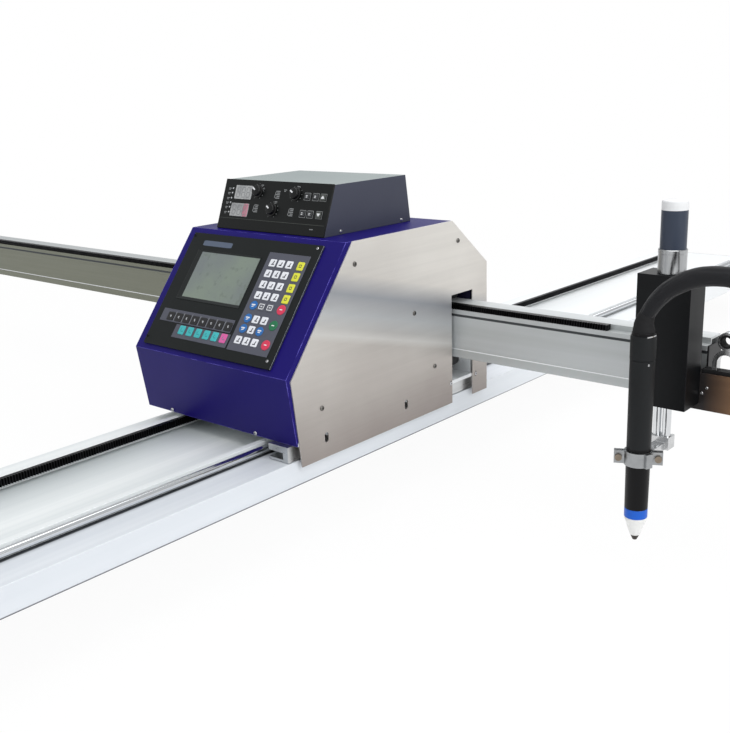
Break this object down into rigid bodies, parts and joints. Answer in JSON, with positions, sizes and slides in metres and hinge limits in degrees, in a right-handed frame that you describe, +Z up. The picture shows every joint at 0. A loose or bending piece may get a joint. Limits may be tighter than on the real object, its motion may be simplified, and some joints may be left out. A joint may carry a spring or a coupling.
{
  "type": "rail-type cnc plasma cutting machine",
  "caption": "Portable rail-type CNC cutting machine: a carriage with a sloped control panel runs along a wide floor rail and drives a cross beam that carries a torch on a motorised lifter.",
  "frame": {"origin": "on the floor, at the middle of the four floor bolts, under the middle of the rail", "axes": "+X across the rail towards the torch, +Y along the rail away from the control panel, +Z up"},
  "size_m": [2.288, 3, 0.5487],
  "materials": {
    "rail_aluminium": "satin mill-finish extrusion with fine lengthwise lines",
    "rack_steel": "black-oxide steel, matt",
    "chrome_rod": "hard-chromed ground rod, polished",
    "cap_aluminium": "satin machined plate",
    "stop_rubber": "matt moulded rubber",
    "bar_steel": "grey powder coat",
    "foot_steel": "zinc-plated",
    "machined_aluminium": "machined, satin",
    "cover_paint": "blue-violet powder coat, semi-gloss",
    "brushed_stainless": "brushed stainless sheet",
    "screw_steel": "dull plated",
    "panel_film": "dark printed polyester film",
    "lcd_glass": "grey-green display behind a clear window",
    "overlay_film": "dark membrane keypad film",
    "key_film": "printed membrane keys",
    "function_key_film": "printed membrane keys, teal",
    "housing_steel": "grey painted sheet",
    "thc_paint": "grey textured powder coat",
    "thc_face_film": "black printed film",
    "display_red": "dark tinted display window",
    "button_plastic": "moulded button",
    "knob_plastic": "black phenolic",
    "motor_paint": "black motor paint",
    "gear_steel": "ground steel",
    "roller_steel": "hardened bearing steel",
    "axle_steel": "ground steel",
    "guide_aluminium": "machined plate",
    "beam_roller_rubber": "black nylon tread",
    "supply_case": "perforated sheet",
    "socket_metal": "nickel-plated",
    "switch_plastic": "red rocker",
    "beam_aluminium": "anodised extrusion, satin",
    "cap_plastic": "black moulded",
    "bracket_stainless": "polished stainless, warm reflections",
    "lifter_paint": "black satin powder coat",
    "lift_motor_metal": "slate enamel on the motor can, bright gearbox",
    "clamp_chrome": "chromed",
    "coupling_brass": "machined brass",
    "block_aluminium": "machined",
    "torch_sleeve": "black moulded sleeve",
    "ring_plastic": "blue moulded ring",
    "nozzle_ceramic": "white ceramic shield",
    "tip_copper": "heat-darkened tip",
    "hose_sleeve": "black braided sleeve over the torch lead"
  },
  "bodies": {
    "root": {"rail_profile": "rail_aluminium", "rail_rack": "rack_steel", "guide_rods": "chrome_rod", "rail_end_caps": "cap_aluminium", "end_stops": "stop_rubber", "cross_bars": "bar_steel", "levelling_feet": "foot_steel"},
    "carriage": {"base_plate": "machined_aluminium", "slider_bars": "machined_aluminium", "cover_shell": "cover_paint", "side_plate_right": "brushed_stainless", "side_plate_left": "brushed_stainless", "cover_screws": "screw_steel", "control_panel": "panel_film", "lcd_screen": "lcd_glass", "keypad_overlays": "overlay_film", "keypad_keys": "key_film", "function_keys": "function_key_film", "controller_housing": "housing_steel", "thc_case": "thc_paint", "thc_faceplate": "thc_face_film", "thc_displays": "display_red", "thc_buttons": "button_plastic", "y_motor": "motor_paint", "x_motor": "motor_paint", "roller_axles": "axle_steel", "beam_guide": "guide_aluminium", "power_supply": "supply_case", "rear_sockets": "socket_metal"},
    "beam": {"beam_profile": "beam_aluminium", "beam_rack": "rack_steel", "beam_end_caps": "cap_plastic", "lifter_bracket": "bracket_stainless", "lifter_housing": "lifter_paint", "lifter_motor": "lift_motor_metal", "cable_clamp": "clamp_chrome", "hose_coupling": "coupling_brass"},
    "torch": {"lift_block": "block_aluminium", "lifter_rods": "chrome_rod", "torch_clamp": "clamp_chrome", "torch_body": "torch_sleeve", "torch_ring": "ring_plastic", "torch_nozzle": "nozzle_ceramic", "torch_tip": "tip_copper", "torch_hose": "hose_sleeve"},
    "rail_roller_1": {"rail_roller_1": "roller_steel"},
    "rail_roller_2": {"rail_roller_2": "roller_steel"},
    "rail_roller_3": {"rail_roller_3": "roller_steel"},
    "rail_roller_4": {"rail_roller_4": "roller_steel"},
    "y_pinion": {"y_pinion": "gear_steel"},
    "x_pinion": {"x_pinion": "gear_steel"},
    "beam_roller_1": {"beam_roller_1": "beam_roller_rubber"},
    "beam_roller_2": {"beam_roller_2": "beam_roller_rubber"},
    "beam_roller_3": {"beam_roller_3": "beam_roller_rubber"},
    "beam_roller_4": {"beam_roller_4": "beam_roller_rubber"},
    "lead_screw": {"lead_screw": "gear_steel"},
    "thc_knob_1": {"thc_knob_1": "knob_plastic"},
    "thc_knob_2": {"thc_knob_2": "knob_plastic"},
    "thc_knob_3": {"thc_knob_3": "knob_plastic"},
    "power_switch": {"power_switch": "switch_plastic"}
  },
  "joints": [
    {"name": "carriage_travel", "type": "slide", "parent": "root", "child": "carriage", "axis": [0, 1, 0], "range_m": [-0.88, 1.57]},
    {"name": "beam_travel", "type": "slide", "parent": "carriage", "child": "beam", "axis": [1, 0, 0], "range_m": [-0.34, 1.26]},
    {"name": "torch_lift", "type": "slide", "parent": "beam", "child": "torch", "axis": [0, 0, 1], "range_m": [-0.035, 0.045], "deforming": ["torch_hose"]},
    {"name": "rail_roller_1_spin", "type": "hinge", "parent": "carriage", "child": "rail_roller_1", "pos_m": [0.143, -0.56, 0.151], "axis": [0, 0, 1], "continuous": true},
    {"name": "rail_roller_2_spin", "type": "hinge", "parent": "carriage", "child": "rail_roller_2", "pos_m": [0.143, -0.13, 0.151], "axis": [0, 0, 1], "continuous": true},
    {"name": "rail_roller_3_spin", "type": "hinge", "parent": "carriage", "child": "rail_roller_3", "pos_m": [-0.143, -0.498, 0.151], "axis": [0, 0, 1], "continuous": true},
    {"name": "rail_roller_4_spin", "type": "hinge", "parent": "carriage", "child": "rail_roller_4", "pos_m": [-0.143, -0.13, 0.151], "axis": [0, 0, 1], "continuous": true},
    {"name": "y_pinion_spin", "type": "hinge", "parent": "carriage", "child": "y_pinion", "pos_m": [-0.07347, -0.345, 0.1535], "axis": [0, 0, 1], "continuous": true},
    {"name": "x_pinion_spin", "type": "hinge", "parent": "carriage", "child": "x_pinion", "pos_m": [0.006, -0.19155, 0.3105], "axis": [0, 0, 1], "continuous": true},
    {"name": "beam_roller_1_spin", "type": "hinge", "parent": "carriage", "child": "beam_roller_1", "pos_m": [0.156, -0.151, 0.32905], "axis": [0, 1, 0], "continuous": true},
    {"name": "beam_roller_2_spin", "type": "hinge", "parent": "carriage", "child": "beam_roller_2", "pos_m": [0.156, -0.151, 0.20295], "axis": [0, 1, 0], "continuous": true},
    {"name": "beam_roller_3_spin", "type": "hinge", "parent": "carriage", "child": "beam_roller_3", "pos_m": [-0.144, -0.151, 0.32905], "axis": [0, 1, 0], "continuous": true},
    {"name": "beam_roller_4_spin", "type": "hinge", "parent": "carriage", "child": "beam_roller_4", "pos_m": [-0.144, -0.151, 0.20295], "axis": [0, 1, 0], "continuous": true},
    {"name": "lead_screw_spin", "type": "hinge", "parent": "beam", "child": "lead_screw", "pos_m": [0.6145, -0.224, 0.324], "axis": [0, 0, 1], "continuous": true},
    {"name": "thc_knob_1_turn", "type": "hinge", "parent": "carriage", "child": "thc_knob_1", "pos_m": [-0.044, -0.41763, 0.52982], "axis": [0, -0.9317, 0.3631], "range_deg": [-209, 91]},
    {"name": "thc_knob_2_turn", "type": "hinge", "parent": "carriage", "child": "thc_knob_2", "pos_m": [-0.002, -0.42852, 0.50187], "axis": [0, -0.9317, 0.3631], "range_deg": [-209, 91]},
    {"name": "thc_knob_3_turn", "type": "hinge", "parent": "carriage", "child": "thc_knob_3", "pos_m": [0.046, -0.41799, 0.52889], "axis": [0, -0.9317, 0.3631], "range_deg": [-209, 91]},
    {"name": "power_switch_rock", "type": "hinge", "parent": "carriage", "child": "power_switch", "pos_m": [0.126, -0.082, 0.22], "axis": [1, 0, 0], "range_deg": [0, 16]}
  ],
  "couplings": [
    {"joint": "rail_roller_1_spin", "follows": "carriage_travel", "rad_per_m": 51.282},
    {"joint": "rail_roller_2_spin", "follows": "carriage_travel", "rad_per_m": 51.282},
    {"joint": "rail_roller_3_spin", "follows": "carriage_travel", "rad_per_m": -51.282},
    {"joint": "rail_roller_4_spin", "follows": "carriage_travel", "rad_per_m": -51.282},
    {"joint": "y_pinion_spin", "follows": "carriage_travel", "rad_per_m": 55.556},
    {"joint": "x_pinion_spin", "follows": "beam_travel", "rad_per_m": -55.556},
    {"joint": "beam_roller_1_spin", "follows": "beam_travel", "rad_per_m": -71.429},
    {"joint": "beam_roller_2_spin", "follows": "beam_travel", "rad_per_m": 71.429},
    {"joint": "beam_roller_3_spin", "follows": "beam_travel", "rad_per_m": -71.429},
    {"joint": "beam_roller_4_spin", "follows": "beam_travel", "rad_per_m": 71.429},
    {"joint": "lead_screw_spin", "follows": "torch_lift", "rad_per_m": -1570.8}
  ]
}
